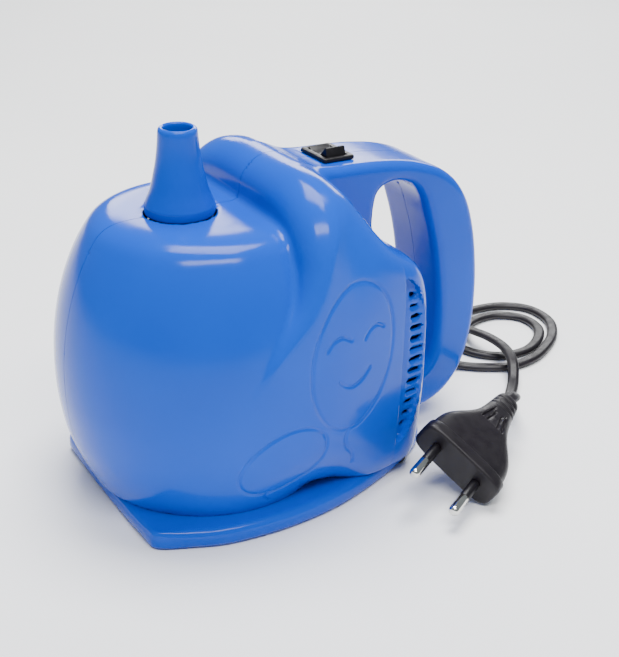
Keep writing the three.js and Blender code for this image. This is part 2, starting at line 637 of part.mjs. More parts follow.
function addLead() {
  const path = new THREE.CatmullRomCurve3(LEAD.map(([x, y, z]) => new THREE.Vector3(x, y, z)));
  const section = new THREE.Shape();
  section.absarc(0, 0, CORD.r, 0, 2 * Math.PI);
  const tube = new THREE.ExtrudeGeometry(section, { steps: 70, extrudePath: path, curveSegments: 4 });
  place('power_cord', closed(tube), BLACK);

  const sleeve = solid(turned([[0, -26.3], [3, -26.3], [3.4, -20], [4.2, -4], [4.2, 9], [6, 9.3],
    [6, 11.5], [0, 11.5]], 0, 14).rotateX(Math.PI / 2));
  place('strain_relief', geometryOf(sleeve.translate([CORD.x, 119.8, CORD.z])), BLACK);
}

function addPlug() {
  const plug = new THREE.Group();
  plug.position.set(PLUG.x, PLUG.y, PLUG.z);
  const rad = THREE.MathUtils.degToRad;
  plug.rotation.set(rad(PLUG.roll), rad(4), rad(PLUG.heading), 'ZYX');
  assembly.add(plug);
  const sections = [[0, 16.6, 6], [-1.4, 17.4, 6.7], [-9, 17.6, 6.8], [-14, 15.8, 6.8], [-19, 12.2, 6.7],
    [-25, 8.4, 6.3], [-31, 6.8, 5.8], [-40, 5.6, 5], [-47, 4.4, 4.2]];
  const rings = sections.map(([x, wide, thick]) => {
    const points = [];
    for (let i = 0; i < 16; i += 1) {
      const angle = (i / 16) * 2 * Math.PI;
      const c = Math.cos(angle);
      const s = Math.sin(angle);
      points.push(new THREE.Vector3(x, wide * Math.sign(c) * Math.abs(c) ** 0.5,
        thick * Math.sign(s) * Math.abs(s) ** 0.5));
    }
    return points;
  });
  place('plug_body', closed(loft(rings)), BLACK, plug);
  [1, -1].forEach((side, i) => {
    const { pinR, pinLength, pinGap } = PLUG;
    const pin = turned([[0, GAP], [pinR, GAP], [pinR, pinLength - 1.4], [pinR * 0.7, pinLength - 0.3],
      [0, pinLength]], 0, 14);
    pin.rotateY(Math.PI / 2).translate(0, (side * pinGap) / 2, 0);
    place(`plug_pin_${i + 1}`, closed(pin), NICKEL, plug);
  });
}

addHousing();
addBase();
addNozzle();
addSwitch();
addMotor();
addBlower();
addLead();
addPlug();

export default root;
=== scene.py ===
# %% [markdown]
# # Balloon inflator: a looks model around a fixed CAD frame
# The frame is the engineering model. Every visible piece below is drawn around it, in metres,
# with +Z up, the nozzle end towards -Y and the loop handle towards +Y.

# %% Load the frame
import json
import math
import bmesh
import bpy
import numpy as np
from mathutils import Matrix, Vector


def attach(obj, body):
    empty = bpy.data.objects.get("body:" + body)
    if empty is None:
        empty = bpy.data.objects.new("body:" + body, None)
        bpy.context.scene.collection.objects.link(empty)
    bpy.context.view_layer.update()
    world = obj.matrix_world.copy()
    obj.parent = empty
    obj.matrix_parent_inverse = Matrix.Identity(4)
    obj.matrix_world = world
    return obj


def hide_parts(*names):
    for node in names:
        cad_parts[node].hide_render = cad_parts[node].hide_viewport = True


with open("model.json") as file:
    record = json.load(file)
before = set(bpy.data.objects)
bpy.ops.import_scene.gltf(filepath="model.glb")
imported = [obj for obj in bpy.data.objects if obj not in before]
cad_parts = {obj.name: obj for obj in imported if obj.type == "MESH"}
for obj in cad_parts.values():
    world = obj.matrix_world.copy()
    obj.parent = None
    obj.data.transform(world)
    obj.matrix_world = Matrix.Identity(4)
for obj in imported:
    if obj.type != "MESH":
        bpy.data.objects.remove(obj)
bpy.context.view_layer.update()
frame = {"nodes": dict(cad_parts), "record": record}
MM = 0.001               # the shapes below are drawn in millimetres
MID_Y = 69.57            # the base's front edge lies this far in front of the frame's origin

# %% [markdown]
# ## Camera
# The view is a normal lens looking down on the right-hand side. It comes first, because a
# cord's free length is judged against what the camera sees.

# %% Camera
AZIMUTH, ELEVATION, ROLL = (math.radians(a) for a in (57.86, 26.15, 1.23))
EYE = Vector((0.3441, -0.2016, 0.2467))
FOCAL_LENGTH, SENSOR = 65.75, 36
ahead = Vector((-math.sin(AZIMUTH) * math.cos(ELEVATION), math.cos(AZIMUTH) * math.cos(ELEVATION),
                -math.sin(ELEVATION)))
level = Vector((math.cos(AZIMUTH), math.sin(AZIMUTH), 0))
above = level.cross(ahead)
right = math.cos(ROLL) * level + math.sin(ROLL) * above
up = math.cos(ROLL) * above - math.sin(ROLL) * level
lens = bpy.data.cameras.new("camera")
lens.lens = FOCAL_LENGTH
lens.sensor_width = SENSOR
camera = bpy.data.objects.new("camera", lens)
bpy.context.collection.objects.link(camera)
camera.matrix_world = Matrix((
    (right.x, up.x, -ahead.x, EYE.x),
    (right.y, up.y, -ahead.y, EYE.y),
    (right.z, up.z, -ahead.z, EYE.z),
    (0, 0, 0, 1)))
bpy.context.scene.camera = camera
print("camera to origin, mm:", round(EYE.length / MM))

# %% [markdown]
# ## Meshes from numpy
# Each surface is worked out as whole arrays. A grid of points becomes quads, and a piece's
# place is in its vertices, so its object stays at the origin.


# %% Points and faces to a mesh
def put_mesh(name, points, faces, sharp=40):
    """A mesh object from points in millimetres, measured from the base's front edge, and faces."""
    place = np.asarray(points, float).reshape(-1, 3) - (0, MID_Y, 0)
    mesh = bpy.data.meshes.new(name)
    if isinstance(faces, np.ndarray):
        faces = [faces]
    sizes = np.concatenate([np.full(len(f), np.shape(f)[1]) for f in faces])
    loops = np.concatenate([np.asarray(f).ravel() for f in faces])
    mesh.vertices.add(len(place))
    mesh.vertices.foreach_set("co", (place * MM).ravel())
    mesh.loops.add(len(loops))
    mesh.loops.foreach_set("vertex_index", loops)
    mesh.polygons.add(len(sizes))
    mesh.polygons.foreach_set("loop_start", np.concatenate([[0], np.cumsum(sizes)[:-1]]))
    mesh.polygons.foreach_set("use_smooth", np.ones(len(sizes), bool))
    mesh.update(calc_edges=True)
    mesh.validate()
    mesh.set_sharp_from_angle(angle=math.radians(sharp))
    piece = bpy.data.objects.new(name, mesh)
    bpy.context.collection.objects.link(piece)
    return piece


# %% [markdown]
# ## Skins through rings
# Most pieces are a row of closed rings with a quad between each pair of neighbours. A fan to
# the middle of the first and last ring closes the ends, so every piece is watertight.


# %% Skins through rings
def around(count, start=0.0):
    """Angles of evenly spaced points on a circle, start being a share of one step."""
    return (np.arange(count) + start) / count * 2 * np.pi


def grid_faces(rows, columns):
    """Quads between neighbouring rows of a grid whose columns close on themselves."""
    r, c = np.meshgrid(np.arange(rows - 1), np.arange(columns), indexing="ij")
    n = (c + 1) % columns
    quads = np.stack([r * columns + c, r * columns + n, (r + 1) * columns + n,
                      (r + 1) * columns + c], -1)
    return quads.reshape(-1, 4)


def capped(rings):
    """Points and faces of a skin through closed rings, with a fan to the middle of each end."""
    rows, columns = rings.shape[:2]
    points = np.concatenate([rings.reshape(-1, 3), [rings[0].mean(0)], [rings[-1].mean(0)]])
    c = np.arange(columns)
    n = (c + 1) % columns
    first = np.stack([n, c, np.full(columns, rows * columns)], -1)
    last = (rows - 1) * columns
    end = np.stack([last + c, last + n, np.full(columns, rows * columns + 1)], -1)
    return points, [grid_faces(rows, columns), np.concatenate([first, end])]


print("a tube of 3 rings of 4 has", sum(len(f) for f in capped(np.zeros((3, 4, 3)))[1]), "faces")

# %% [markdown]
# ## Smooth lines
# A curve through a few given points keeps an outline short to write. The centripetal form
# of the Catmull-Rom curve doesn't loop or overshoot where the points are unevenly spaced.


# %% Smooth lines
def smooth_line(points, count):
    """A centripetal Catmull-Rom curve through the points, read at count + 1 even parameters."""
    p = np.asarray(points, float)
    p = np.concatenate([[2 * p[0] - p[1]], p, [2 * p[-1] - p[-2]]])
    u = np.linspace(0, len(p) - 3 - 1e-9, count + 1)
    i = u.astype(int)
    u = (u - i)[:, None]
    a, b, c, d = p[i], p[i + 1], p[i + 2], p[i + 3]
    t1 = np.maximum(np.linalg.norm(b - a, axis=1) ** 0.5, 1e-6)[:, None]
    t2 = np.maximum(np.linalg.norm(c - b, axis=1) ** 0.5, 1e-6)[:, None]
    t3 = np.maximum(np.linalg.norm(d - c, axis=1) ** 0.5, 1e-6)[:, None]
    m1 = ((b - a) / t1 - (c - a) / (t1 + t2) + (c - b) / t2) * t2
    m2 = ((c - b) / t2 - (d - b) / (t2 + t3) + (d - c) / t3) * t2
    return ((2 * u ** 3 - 3 * u ** 2 + 1) * b + (u ** 3 - 2 * u ** 2 + u) * m1
            + (3 * u ** 2 - 2 * u ** 3) * c + (u ** 3 - u ** 2) * m2)


def even_line(points, count):
    """The same curve with its points at equal steps of length."""
    fine = smooth_line(points, 40 * len(points))
    run = np.concatenate([[0], np.cumsum(np.linalg.norm(np.diff(fine, axis=0), axis=1))])
    at = np.linspace(0, run[-1], count + 1)
    return np.stack([np.interp(at, run, fine[:, k]) for k in range(fine.shape[1])], 1), run[-1]


print("a line of 3, then 4, has length", round(even_line([[0, 0], [3, 0], [7, 0]], 7)[1], 3))

# %% [markdown]
# ## Turned pieces
# A turned piece is one profile of [radius, height] carried round an upright axis. A profile that
# ends where it began makes a hollow piece, and any other is closed at its ends.


# %% Turned pieces
def lathe(name, profile, centre, sides=96, sharp=40):
    """Turns a [radius, height] profile about a vertical axis through centre, for a closed piece."""
    profile = np.asarray(profile, float)
    angle = around(sides)
    r, z = profile[:, :1], profile[:, 1:]
    rings = np.stack([centre[0] + r * np.cos(angle), centre[1] + r * np.sin(angle),
                      z + 0 * angle], -1)
    if np.allclose(profile[0], profile[-1]):
        faces = grid_faces(len(profile), sides)
        faces[faces >= (len(profile) - 1) * sides] -= (len(profile) - 1) * sides
        return put_mesh(name, rings[:-1], faces, sharp)
    points, faces = capped(rings)
    return put_mesh(name, points, faces, sharp)


# %% [markdown]
# ## Finishes as expressions
# A small class wraps a shader socket, so that ordinary sums in Python add Math nodes. Patterns
# read Object coordinates, which are metres here because every piece sits at the origin.


# %% Shader helpers
class Wire:
    """A value or a vector on its way through a material's nodes."""

    def __init__(self, finish, socket):
        self.finish, self.socket = finish, socket

    def _sum(self, kind, a, b):
        return self.finish.node("ShaderNodeMath", {"operation": kind}, [a, b])

    def __add__(self, other): return self._sum("ADD", self, other)
    def __radd__(self, other): return self._sum("ADD", other, self)
    def __rmul__(self, other): return self._sum("MULTIPLY", other, self)


class Finish:
    """A Principled material. Fixed values go to the shader's own sockets by name."""

    def __init__(self, name, **fixed):
        self.material = bpy.data.materials.new(name)
        self.material.use_nodes = True
        self.tree = self.material.node_tree
        self.shader = self.tree.nodes["Principled BSDF"]
        for key, value in fixed.items():
            self.shader.inputs[key.replace("_", " ")].default_value = value
        self.place = self.node("ShaderNodeTexCoord", out="Object")

    def node(self, kind, settings=None, inputs=None, out=0):
        """Adds any node: its settings by name, its inputs by name or order, one output back."""
        node = self.tree.nodes.new(kind)
        for key, value in (settings or {}).items():
            setattr(node, key, value)
        pairs = inputs.items() if isinstance(inputs, dict) else enumerate(inputs or [])
        for key, value in pairs:
            if isinstance(value, Wire):
                self.tree.links.new(value.socket, node.inputs[key])
            else:
                node.inputs[key].default_value = value
        return Wire(self, node.outputs[out])

    def noise(self, scale, detail=3, roughness=0.5, vector=None):
        return self.node("ShaderNodeTexNoise", None, {
            "Vector": vector or self.place, "Scale": scale, "Detail": detail, "Roughness": roughness})

    def between(self, value, low, high, to_low=0.0, to_high=1.0):
        """A straight-line change of range, held at both ends."""
        return self.node("ShaderNodeMapRange", None, [value, low, high, to_low, to_high])

    def mix(self, share, one, other):
        """Colours mixed by a share from 0 to 1."""
        return self.node("ShaderNodeMix", {"data_type": "RGBA"}, {0: share, 6: one, 7: other}, 2)

    def colour(self, wire): self.tree.links.new(wire.socket, self.shader.inputs["Base Color"])
    def roughness(self, wire): self.tree.links.new(wire.socket, self.shader.inputs["Roughness"])

    def relief(self, height, depth, strength=1.0):
        """Bump of a height from 0 to 1 that stands depth metres proud."""
        bump = self.node("ShaderNodeBump", None, {
            "Strength": strength, "Distance": depth, "Height": height})
        self.tree.links.new(bump.socket, self.shader.inputs["Normal"])


def rgb(red, green, blue):
    """A colour given in display values from 0 to 255, as the linear colour a shader uses."""
    return tuple((c / 255 / 12.92 if c < 10.4 else ((c / 255 + 0.055) / 1.055) ** 2.4)
                 for c in (red, green, blue)) + (1.0,)


def coat(piece, finish):
    """Puts one finish on a whole piece."""
    piece.data.materials.clear()
    piece.data.materials.append(finish.material)


# %% [markdown]
# ## Glossy blue plastic
# Glossy blue polypropylene has a skin a little paler where it flowed thin, a faint orange peel
# and a few dull handling marks, which only show in the roughness.

# %% Glossy blue plastic
blue = Finish("gloss_blue_plastic", IOR=1.49, Specular_IOR_Level=0.2)
flow = blue.between(blue.noise(14, 2), 0.35, 0.7)
blue.colour(blue.mix(flow, rgb(0, 70, 186), rgb(0, 79, 200)))
marks = 0.1 * blue.between(blue.noise(160, 5, 0.65), 0.52, 0.8)
blue.roughness(marks + (0.13 + 0.06 * blue.between(blue.noise(30, 2), 0.3, 0.8)))
blue.relief(blue.noise(420, 2), 0.000012)
print("blue plastic nodes:", len(blue.tree.nodes))

# %% [markdown]
# ## Black plastic, lead jacket and rubber
# The switch is satin with a fine spark-eroded grain. The lead's soft jacket is duller, and the
# rubber of the feet and gasket is nearly matt.

# %% Black plastic, lead jacket and rubber
satin = Finish("satin_black_plastic", IOR=1.5, Specular_IOR_Level=0.35)
satin.colour(satin.mix(satin.noise(90, 3), rgb(9, 8, 11), rgb(20, 17, 23)))
satin.roughness(satin.between(satin.noise(700, 2), 0.3, 0.7, 0.3, 0.46))
satin.relief(satin.noise(2600, 2), 0.00002)

pvc = Finish("soft_black_pvc", IOR=1.5, Specular_IOR_Level=0.35)
pvc.colour(pvc.mix(pvc.noise(60, 4), rgb(9, 7, 10), rgb(26, 20, 28)))
pvc.roughness(pvc.between(pvc.noise(300, 3), 0.3, 0.7, 0.34, 0.5))
pvc.relief(pvc.noise(1900, 3), 0.00003)

rubber = Finish("black_rubber")
rubber.colour(rubber.mix(rubber.noise(120, 4), rgb(24, 24, 25), rgb(44, 43, 44)))
rubber.roughness(rubber.between(rubber.noise(900, 2), 0.3, 0.7, 0.7, 0.9))
rubber.relief(rubber.noise(2200, 2), 0.00003)
print("black finishes:", [f.material.name for f in (satin, pvc, rubber)])

# %% [markdown]
# ## Metals
# Drawn and turned metal has fine lines. They come from one noise, stretched by a Mapping node
# across the direction of the tool, which drives both the roughness and a slight bump.


# %% Metals
def metal(name, dark, light, low, high, stretch):
    """Turned or drawn metal: fine lines from a noise stretched across the lathe's axis."""
    finish = Finish(name, Metallic=1.0)
    wide = finish.node("ShaderNodeMapping", None, {"Vector": finish.place, "Scale": stretch})
    lines = finish.noise(900, 3, 0.6, wide)
    finish.colour(finish.mix(finish.noise(180, 3), dark, light))
    finish.roughness(finish.between(lines, 0.3, 0.7, low, high))
    finish.relief(lines, 0.00001)
    return finish


steel = metal("turned_steel", rgb(150, 152, 156), rgb(196, 198, 202), 0.22, 0.4, (0.3, 0.3, 4))
sheets = metal("stacked_laminations", rgb(88, 90, 96), rgb(126, 128, 134), 0.4, 0.6, (0.1, 0.1, 6))
copper = metal("enamelled_copper", rgb(150, 72, 32), rgb(196, 108, 54), 0.25, 0.45, (0.2, 0.2, 5))
brass = metal("stamped_brass", rgb(176, 138, 66), rgb(214, 178, 98), 0.25, 0.42, (1, 1, 1))
nickel = metal("plated_nickel", rgb(196, 194, 190), rgb(226, 224, 219), 0.1, 0.2, (1, 1, 0.3))
print("metals:", [f.material.name for f in (steel, sheets, copper, brass, nickel)])

# %% [markdown]
# ## Carbon, nylon and the inner pieces
# Every inner piece keeps its engineering shape and gets a finish by the name of its material.

# %% Carbon, nylon and the inner pieces
carbon = Finish("pressed_carbon")
carbon.colour(carbon.mix(carbon.noise(700, 3), rgb(30, 30, 33), rgb(58, 58, 62)))
carbon.roughness(carbon.between(carbon.noise(1500, 2), 0.3, 0.7, 0.5, 0.75))
nylon = Finish("natural_nylon", IOR=1.53)
nylon.colour(nylon.mix(nylon.noise(50, 3), rgb(224, 219, 203), rgb(238, 234, 222)))
nylon.roughness(nylon.between(nylon.noise(400, 2), 0.3, 0.7, 0.35, 0.5))
nylon.relief(nylon.noise(1500, 2), 0.00002)
FINISHES = {"blue_shell": blue, "black_plastic": satin, "black_pvc": pvc, "rubber": rubber,
            "steel": steel, "lamination": sheets, "copper": copper, "brass": brass,
            "nickel": nickel, "carbon": carbon, "nylon": nylon}
for part in frame["record"]["subparts"]:
    coat(frame["nodes"][part["node"]], FINISHES[part["material_slot"]])
print("finishes:", len(FINISHES))

# %% [markdown]
# ## The moulded housing as a field
# A moulded shell has soft fillets wherever its forms meet, and no single two-way grid can carry
# them. So the housing is a field: a function that is negative inside the plastic and grows with
# distance from it. Round unions and cuts of simple fields give the fillets, and the skin is
# where the field is zero.

# %% Outlines of the housing, in millimetres
# DRUM_OUTLINE is [radius, up], BODY_WIDTH is [back, half width] and the others are [back, up].
DRUM_Y = 40.0
DRUM_OUTLINE = [[41.5, 4], [43.8, 9], [47, 16], [50.4, 25.5], [52.4, 37], [53, 49], [52.2, 62],
                [49.7, 75], [45.6, 87], [41, 96], [37.6, 100.6], [34, 102.8], [29, 103.8], [20, 104]]
BODY_WIDTH = [[-30, 20], [-12, 30], [2.4, 33], [7, 38.4], [15, 44.6], [24, 49], [34, 52], [50, 53.6],
              [66, 52.6], [82, 49.2], [94, 46], [100, 44.5], [104, 43.1], [107, 41.4], [110, 38.6],
              [113.4, 34], [117.2, 27.4], [120.8, 20], [123.6, 11], [125, 0]]
BODY_SIDE = [[-30, 112], [2.4, 115.6], [30, 117.6], [52, 118.8], [60, 119.2], [66, 119.2], [71, 118],
             [76, 114], [81, 106.8], [86, 99.6], [91, 94], [97, 89.4], [103, 85.8], [108, 81.8],
             [112, 76.4], [115.6, 69], [118.4, 59], [120.4, 46], [121.2, 32], [121.4, 16], [121.4, 0]]
FRONT_SLOPE = [[-4, -8], [2.4, 6], [9.6, 21.6], [17.6, 36.8], [26.4, 50.4], [34.4, 63.2], [43, 75],
               [49.4, 84], [52.6, 93], [53.6, 102], [55, 112], [58, 126], [60, 140]]
HANDLE_BACK = [[68, 117.2], [74, 116.2], [84, 114.7], [96, 114.2], [108, 113.3],
               [120, 111.2], [129.6, 107.6], [138, 101.6], [144, 93.4], [148, 82.6], [150.6, 70],
               [152, 56], [151.8, 42], [149.6, 29], [145.6, 19.4], [139, 12.4], [131, 8.8],
               [121, 7.8], [110, 7.8]]
FINGER_HOLE = [[98, 50], [101, 80], [101.8, 98], [103.2, 102.6], [107, 105], [112.4, 105.2],
               [118, 103], [122.6, 97.6], [126, 89], [129.4, 77.6], [132, 64], [133.4, 49.6],
               [133.2, 38.4], [131, 29], [126.4, 24], [120, 22.4], [108, 22.4], [101, 30]]
HANDLE_ROOT = [[100, 9], [72, 40], [68, 100]]          # how the handle closes inside the body
HANDLE_HALF, HANDLE_ROUND = 15.6, 3.6
FLOOR = 7.3              # the housing stands this high on its base plate
print("points given:", sum(map(len, (DRUM_OUTLINE, BODY_WIDTH, BODY_SIDE, FRONT_SLOPE, HANDLE_BACK,
                                     FINGER_HOLE))))

# %% [markdown]
# ## Distance tables
# A field needs the distance to an outline at any point. It is worked out once on a half
# millimetre grid and then read between the grid points.


# %% Distance tables
def distance_table(outline, low, high, step=0.5, closed=True):
    """Signed distance to an outline, on a square grid: how far the nearest edge is, and on which
    side of the line the point lies by counting the edges a ray crosses."""
    outline = np.asarray(outline, float)
    u = np.arange(low[0], high[0] + step, step)
    v = np.arange(low[1], high[1] + step, step)
    U, V = np.meshgrid(u, v, indexing="ij")
    best = np.full(U.shape, 1e9)
    inside = np.zeros(U.shape, bool)
    ends = np.roll(outline, -1, axis=0) if closed else outline[1:]
    for a, b in zip(outline, ends):
        d = b - a
        long = max(d @ d, 1e-12)
        t = np.clip(((U - a[0]) * d[0] + (V - a[1]) * d[1]) / long, 0, 1)
        best = np.minimum(best, (U - a[0] - t * d[0]) ** 2 + (V - a[1] - t * d[1]) ** 2)
        if closed and a[1] != b[1]:
            inside ^= ((a[1] > V) != (b[1] > V)) & (U < a[0] + (V - a[1]) * d[0] / (b[1] - a[1]))
    best = np.sqrt(best)
    return np.array(low, float), step, np.where(inside, -best, best)


def read_table(table, u, v):
    """Reads a distance table between its grid points, by weighting the four around a point."""
    low, step, values = table
    a = np.clip((u - low[0]) / step, 0, values.shape[0] - 1.001)
    b = np.clip((v - low[1]) / step, 0, values.shape[1] - 1.001)
    i, j = a.astype(int), b.astype(int)
    a, b = a - i, b - j
    return ((values[i, j] * (1 - a) + values[i + 1, j] * a) * (1 - b)
            + (values[i, j + 1] * (1 - a) + values[i + 1, j + 1] * a) * b)


half_drum = smooth_line(DRUM_OUTLINE, 160)
drum_table = distance_table(
    np.concatenate([half_drum, [[0, 104.1]], [[-20, 104.1]], [[-20, 4]]]), (-2, -2), (90, 132))
half_plan = smooth_line(BODY_WIDTH, 200)[:, ::-1]
plan_table = distance_table(
    np.concatenate([half_plan, half_plan[::-1] * (-1, 1)]), (-1, -20), (60, 160))
side_table = distance_table(
    np.concatenate([smooth_line(BODY_SIDE, 200), [[-60, 0], [-60, 116]]]), (-20, -2), (160, 134))
front_table = distance_table(
    np.concatenate([smooth_line(FRONT_SLOPE, 160), [[-90, 140], [-90, -8]]]), (-20, -2), (160, 134))
handle_table = distance_table(
    np.concatenate([smooth_line(HANDLE_BACK, 200), HANDLE_ROOT]), (-20, -2), (160, 134))
hole_table = distance_table(
    smooth_line(FINGER_HOLE + FINGER_HOLE[:1], 200), (-20, -2), (160, 134))
print("drum radius at half height, mm:", round(-float(read_table(drum_table, 0.0, 50.0)), 1))


# %% [markdown]
# ## Joining and cutting with fillets
# Where two forms join, a round of radius k fills the corner. The corner of two fields is a
# circle when the distance past both is the root of the sum of squares.


# %% Round joins
def round_join(a, b, k):
    """Union with a fillet of radius k: the smaller field, less the depth into both within k."""
    return np.maximum(k, np.minimum(a, b)) - np.hypot(np.maximum(k - a, 0), np.maximum(k - b, 0))


def round_cut(a, b, k):
    """What lies in both, with its edge rounded to radius k."""
    return np.minimum(-k, np.maximum(a, b)) + np.hypot(np.maximum(a + k, 0), np.maximum(b + k, 0))


def ease(low, high, x):
    """0 below low, 1 above high, and a smooth S between."""
    t = np.clip((x - low) / (high - low), 0, 1)
    return t * t * (3 - 2 * t)


def tuck(z):
    """How far the side panels draw in towards their foot: 2.2 at the base, 0 above 44."""
    return 2.2 * np.clip((44 - z) / 37, 0, 1) ** 1.6


def outer_field(x, y, z):
    """The whole outside: a drum turned about an upright axis, a rear body whose plan and side
    outlines meet in a broad superelliptic shoulder and whose front is cut to a slope, and a
    loop handle with rounded edges."""
    x = np.abs(x)
    drum = read_table(drum_table, np.hypot(x, y - DRUM_Y), z)
    side = read_table(plan_table, x, y) + tuck(z)
    crown = read_table(side_table, y, z)
    r = 44 - 20 * ease(58, 92, y)
    a, b = np.maximum(side + r, 0), np.maximum(crown + r, 0)
    power = 2.6 + 2.4 * ease(68, 98, y)
    body = (a ** power + b ** power + 1e-9) ** (1 / power) - r
    lip = 2.0 + 7.0 * ease(52, 104, z)
    body = round_cut(body, -read_table(front_table, y, z), lip)
    flat = round_cut(read_table(handle_table, y, z), -read_table(hole_table, y, z), 0.8)
    a, b = flat + HANDLE_ROUND, x - HANDLE_HALF + HANDLE_ROUND
    handle = np.minimum(np.maximum(a, b), 0) + np.hypot(np.maximum(a, 0), np.maximum(b, 0))
    joined = round_join(drum, body, 1.4 + 1.2 * ease(60, 100, z))
    return round_join(joined, handle - HANDLE_ROUND, 3.2)


print("height over the drum's axis, mm:", [z for z in range(90, 120)
                                           if outer_field(0.0, DRUM_Y, float(z)) < 0][-1])

# %% [markdown]
# ## Vents, switch seat and nozzle hole
# Thirteen slots stand in a sunk crescent down the rear edge of each side. The seat for the
# switch and the hole for the nozzle are plain cuts.

# %% Cuts
VENT_MIDDLE, VENT_STEP, VENT_COUNT = 48.2, 4.267, 13
NOZZLE_Y = 31.8
SWITCH_Y, SWITCH_TOP = 90.0, 114.4
CORD_HOLE = (-22.0, 14.0, 4.6)           # across, up and radius
WALL = 2.4


def vent_places(y, z):
    """Distance back from the middle of the slots, and how deep a point lies inside the crescent,
    whose front edge is straight and whose rear edge is an arc."""
    across = y - 103.4 + 3.6 * ((z - 50) / 26) ** 2
    rear = 94.4 + 13 * np.sqrt(np.clip(1 - ((z - 49.5) / 32.5) ** 2, 0, 1))
    return across, np.minimum(y - 94.4, rear - y)


def shell_field(x, y, z, sign):
    """Wall of constant thickness under the outside, with all its cuts. sign is +1 on the right."""
    outside = outer_field(x, y, z)
    across, strip = vent_places(y, z)
    on_side = np.where(np.abs(x) > 20, 0, 9.0)
    seat = np.abs(x) - 42.2 + 0.12 * (y - 98) + tuck(z)
    dish = np.minimum(strip, seat + 1.6 * ease(66, 82, z)) - on_side
    outside = round_cut(outside, dish, 0.4)
    wall = round_cut(outside, -(outside + WALL), 0.2)
    n = np.clip(np.round((z - VENT_MIDDLE) / VENT_STEP), -(VENT_COUNT // 2), VENT_COUNT // 2)
    reach = 2.1 - 1.5 * (n / (VENT_COUNT // 2)) ** 2
    slot = np.hypot(np.maximum(np.abs(across) - reach, 0), z - VENT_MIDDLE - n * VENT_STEP) - 1.2
    back = np.abs(y - SWITCH_Y)
    cuts = [
        np.maximum(np.maximum(slot, -(outside + 7)), on_side),
        np.maximum(np.hypot(x, y - NOZZLE_Y) - 12.5, 90 - z),
        np.maximum(np.maximum(np.abs(x) - 7.4, back - 5.4), 100 - z),
        np.maximum(np.maximum(np.abs(x) - 9, back - 7), SWITCH_TOP - z),
    ]
    if sign < 0:
        cuts.append(np.maximum(np.hypot(x - CORD_HOLE[0], z - CORD_HOLE[1]) - CORD_HOLE[2], 90 - y))
    for hole in cuts:
        wall = round_cut(wall, -hole, 0.3)
    return wall


print("vent slots a side:", VENT_COUNT, "over", round(VENT_STEP * (VENT_COUNT - 1), 1), "mm")

# %% [markdown]
# ## From field to skin
# The field is read on a lattice. Each lattice cell that the surface crosses gets one vertex at
# the mean of its crossings, each crossed lattice edge gets one quad, and Newton steps along the
# field's slope then set every vertex exactly on the surface. Flat mating faces are set last.


# %% Skin of a field
def slope_of(field, p, eps=0.03):
    """Central differences of the field along the three axes."""
    out = np.empty_like(p)
    for k in range(3):
        d = np.zeros(3)
        d[k] = eps
        out[:, k] = (field(*(p + d).T) - field(*(p - d).T)) / (2 * eps)
    return out


def settle(field, p, step, rounds=4, free=(1, 1, 1)):
    """Newton steps onto the surface: minus value times slope over slope squared."""
    for _ in range(rounds):
        g = slope_of(field, p) * free
        move = -field(*p.T)[:, None] * g / np.maximum((g * g).sum(1), 0.05)[:, None]
        long = np.linalg.norm(move, axis=1)[:, None]
        p = p + move * np.minimum(1, step / np.maximum(long, 1e-9))
    return p


def skin(field, low, high, h):
    """Vertices and quads where the field is zero inside the box from low to high."""
    axes = [np.arange(low[k], high[k] + h, h) for k in range(3)]
    values = field(*np.meshgrid(*axes, indexing="ij"))
    inside = values < 0
    n = np.array(values.shape)
    cells = n - 1
    total = np.zeros((cells.prod(), 3))
    count = np.zeros(cells.prod())
    edges = []
    for k in range(3):
        a = np.take(inside, np.arange(n[k] - 1), k)
        b = np.take(inside, np.arange(1, n[k]), k)
        at = np.argwhere(a != b)
        one = np.zeros(3, int)
        one[k] = 1
        v0, v1 = values[tuple(at.T)], values[tuple((at + one).T)]
        spot = (at + one * (v0 / (v0 - v1))[:, None]) * h + [axis[0] for axis in axes]
        u, w = (k + 1) % 3, (k + 2) % 3
        corner = []
        for du, dw in ((1, 1), (0, 1), (0, 0), (1, 0)):
            cell = at.copy()
            cell[:, u] -= du
            cell[:, w] -= dw
            flat = (cell[:, 0] * cells[1] + cell[:, 1]) * cells[2] + cell[:, 2]
            corner.append(flat)
            for j in range(3):
                total[:, j] += np.bincount(flat, spot[:, j], minlength=len(count))
            count += np.bincount(flat, minlength=len(count))
        quad = np.stack(corner, -1)
        flip = ~a[tuple(at.T)]
        quad[flip] = quad[flip][:, ::-1]
        edges.append(quad)
    used = count > 0
    number = np.cumsum(used) - 1
    return total[used] / count[used][:, None], number[np.concatenate(edges)]


ball = settle(lambda x, y, z: np.sqrt(x * x + y * y + z * z) - 2,
              skin(lambda x, y, z: np.sqrt(x * x + y * y + z * z) - 2, (-3,) * 3, (3,) * 3, 0.5)[0], 0.3)
print("worst radius error on a test ball:", float(np.abs(np.linalg.norm(ball, axis=1) - 2).max()))


# %% [markdown]
# ## Engraved balloons
# Each side panel carries a line drawing of two balloons. The lines are given on the panel as
# [back, up], the mesh is split finer beside them, and the skin sinks by a smooth groove.


# %% Engraving
def oval(middle, radii, tilt):
    """A tilted ellipse: cosine and sine of the angle, times the radii, turned by the tilt."""
    t = np.linspace(0, 2 * np.pi, 90)
    a, b = radii[0] * np.cos(t), radii[1] * np.sin(t)
    c, s = math.cos(math.radians(tilt)), math.sin(math.radians(tilt))
    return np.stack([middle[0] + a * c - b * s, middle[1] + a * s + b * c], 1)


